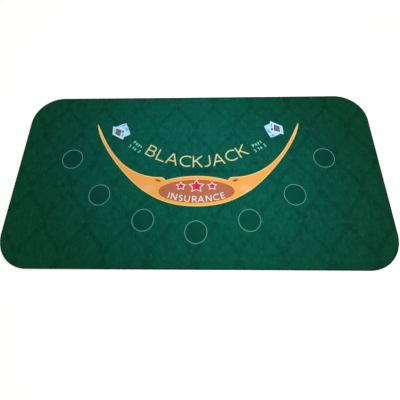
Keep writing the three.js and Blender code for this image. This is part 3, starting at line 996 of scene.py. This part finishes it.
def print_shadow(node, loops, shift, material):
    """A thin film under a printed shape, moved a little to one side."""
    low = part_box(node)[0].z
    moved = [loop + np.array(shift) for loop in loops]
    add_film(f"{node}_shadow", moved, low, low + SHADE_THICKNESS, material)


def print_rim(node, loop, width, material):
    """A line of another ink just inside a printed shape's outline."""
    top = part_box(node)[1].z
    loops = [loop, inset(loop, width)]
    add_film(f"{node}_rim", loops, top, top + SHADE_THICKNESS, material)


def add_band():
    band = print_node("horn_band", band_material())
    print_rim("horn_band", band[0], BAND_RIM, ink_material("band_rim_ink"))
    oval = print_node("band_oval", ink_material("oval_ink"))
    print_rim("band_oval", oval[0], OVAL_RIM, ink_material("oval_rim_ink"))
    fold = ink_material("fold_ink")
    fold_edge = ink_material("fold_edge_ink")
    for node in nodes_named("fold_mark_"):
        mark = print_node(node, fold)
        print_rim(node, mark[0], FOLD_RIM, fold_edge)


def add_stars():
    pink = ink_material("star_outline_ink")
    red = ink_material("red_ink")
    white = ink_material("white_ink")
    shade = ink_material("oval_shade_ink")
    for node in nodes_named("star_outline_"):
        loops = print_node(node, pink)
        print_shadow(node, loops, STAR_SHADOW, shade)
    for node in nodes_named("star_middle_"):
        print_node(node, red)
    for node in nodes_named("oval_word_"):
        loops = print_node(node, white)
        print_shadow(node, loops, OVAL_WORD_SHADOW, shade)


def add_words():
    gold = ink_material("gold_ink")
    shade = ink_material("cloth_shade_ink")
    for node in nodes_named("game_word_"):
        loops = print_node(node, gold)
        print_shadow(node, loops, GAME_WORD_SHADOW, shade)
    mint = ink_material("mint_ink")
    for node in nodes_named("payout_"):
        print_node(node, mint)


def add_spots():
    line = ink_material("circle_line_ink")
    for node in SPOTS:
        print_node(node, line)


# ---- The playing cards --------------------------------------------------------------------------

# Places and half sizes on a front card are shares of its length and its height.
PICTURE_MIDDLE = (0.46, 0.5)
PICTURE_BAR = (0.18, 0.014)
PICTURE_LOZENGE = (0.028, 0.030)
LOZENGE_STEP = 0.102
LOZENGE_ROWS = ((0.095, 4), (0.18, 3), (0.265, 4))

# The back card's marks are in mm from its middle, along it and up it.
BACK_CARD_TURN_DEG = 23.5
HEART_PLACE = (11, 27)
HEART_HEIGHT = 16
SPADE_PLACE = (13, 3)
SPADE_HEIGHT = 22
SPADE_STEM = ((-4, -15), (4, -15), (1.5, -5), (-1.5, -5))


def block(middle, half_size):
    u, v = middle
    half_u, half_v = half_size
    left, right, low, high = u - half_u, u + half_u, v - half_v, v + half_v
    return [(left, low), (right, low), (right, high), (left, high)]


def lozenge(middle, half_size):
    u, v = middle
    half_u, half_v = half_size
    return [(u - half_u, v), (u, v - half_v), (u + half_u, v), (u, v + half_v)]


def heart(height):
    """The points of a heart about its middle."""
    t = np.linspace(0, math.tau, 40, endpoint=False)
    x = 16 * np.sin(t) ** 3
    y = 13 * np.cos(t) - 5 * np.cos(2 * t) - 2 * np.cos(3 * t) - np.cos(4 * t)
    curve_height, curve_middle = 29, -2.5
    return np.stack([x, y - curve_middle], 1) * height / curve_height


def picture_pattern():
    """Rows of lozenges either side of a bar, the same from both ends."""
    u, v = PICTURE_MIDDLE
    shapes = [block(PICTURE_MIDDLE, PICTURE_BAR)]
    for row, count in LOZENGE_ROWS:
        for i in range(count):
            across = (i - (count - 1) / 2) * LOZENGE_STEP
            for end in (-1, 1):
                shapes.append(lozenge((u + across * end, v + row * end), PICTURE_LOZENGE))
    return shapes


# Marks on a front card: the name, the ink, the shapes, and how many marks lie under it.
FRONT_CARD_MARKS = [
    ("picture_frame", "card_frame_ink", [block(PICTURE_MIDDLE, (0.235, 0.36))], 0),
    ("picture", "card_picture_ink", [block(PICTURE_MIDDLE, (0.213, 0.325))], 1),
    ("picture_pattern", "card_frame_ink", picture_pattern(), 2),
    ("index_near", "card_index_ink", [block((0.88, 0.38), (0.042, 0.15))], 0),
    ("index_far", "card_faint_ink", [block((0.10, 0.62), (0.032, 0.13))], 0),
    ("pip_near", "card_pip_ink", [lozenge((0.82, 0.73), (0.09, 0.145))], 0),
    ("pip_far", "card_faint_ink", [lozenge((0.135, 0.27), (0.06, 0.10))], 0),
]

# Marks on a back card: the name, the ink, the shape, its place, and how many marks lie under it.
BACK_CARD_MARKS = [
    ("heart", "card_heart_ink", heart(HEART_HEIGHT), HEART_PLACE, 0),
    ("spade", "card_spade_ink", -heart(SPADE_HEIGHT), SPADE_PLACE, 0),
    ("spade_stem", "card_spade_ink", np.array(SPADE_STEM), SPADE_PLACE, 1),
]


def card_corners(node, side):
    """A card's corners, from its lower left one. The right-hand cards are turned by half a turn."""
    corners = top_outlines(node)[0]
    start = int(np.argmin(side * (corners[:, 0] + corners[:, 1] / 2)))
    return np.roll(corners, -start, 0)


def on_card(corners, points):
    """Places on a card: each point is a share of the way along it and a share of the way up."""
    u, v = np.array(points, float).T[:, :, None]
    low = corners[0] * (1 - u) + corners[1] * u
    high = corners[3] * (1 - u) + corners[2] * u
    return low * (1 - v) + high * v


def add_front_card(place, side, inks):
    """A picture card: a pale border, a framed picture, and an index and a pip in two corners."""
    node = f"card_front_{place}"
    outline = print_node(node, inks["card_front_ink"])[0]
    print_rim(node, outline, CARD_RIM, inks["card_border_ink"])
    corners = card_corners(node, side)
    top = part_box(node)[1].z
    for name, ink, shapes, level in FRONT_CARD_MARKS:
        low = top + level * SHADE_THICKNESS
        high = low + SHADE_THICKNESS
        outlines = [on_card(corners, points) for points in shapes]
        add_films(f"card_{name}_{place}", outlines, low, high, inks[ink])


def add_back_card(place, side, inks):
    """The card that lies under it, with a heart in its corner and a spade beside the front card."""
    node = f"card_back_{place}"
    print_node(node, inks["card_back_ink"])
    middle = np.array(middle_of(node).xy)
    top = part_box(node)[1].z
    turn = math.radians(BACK_CARD_TURN_DEG)
    axes = np.array([[math.cos(turn), math.sin(turn)], [-math.sin(turn), math.cos(turn)]])
    for name, ink, shape, place_on_card, level in BACK_CARD_MARKS:
        low = top + level * SHADE_THICKNESS
        high = low + SHADE_THICKNESS
        loop = middle + side * ((shape + place_on_card) @ axes) * MM
        add_film(f"card_{name}_{place}", [loop], low, high, inks[ink])


def add_cards():
    inks = {name: ink_material(name) for name in INKS if name.startswith("card_")}
    for place, side in (("left", 1), ("right", -1)):
        add_back_card(place, side, inks)
        add_front_card(place, side, inks)


# ---- The scene ----------------------------------------------------------------------------------

add_camera()
add_light()
add_floor()
add_sheets()
add_stitching()
add_band()
add_stars()
add_words()
add_spots()
add_cards()
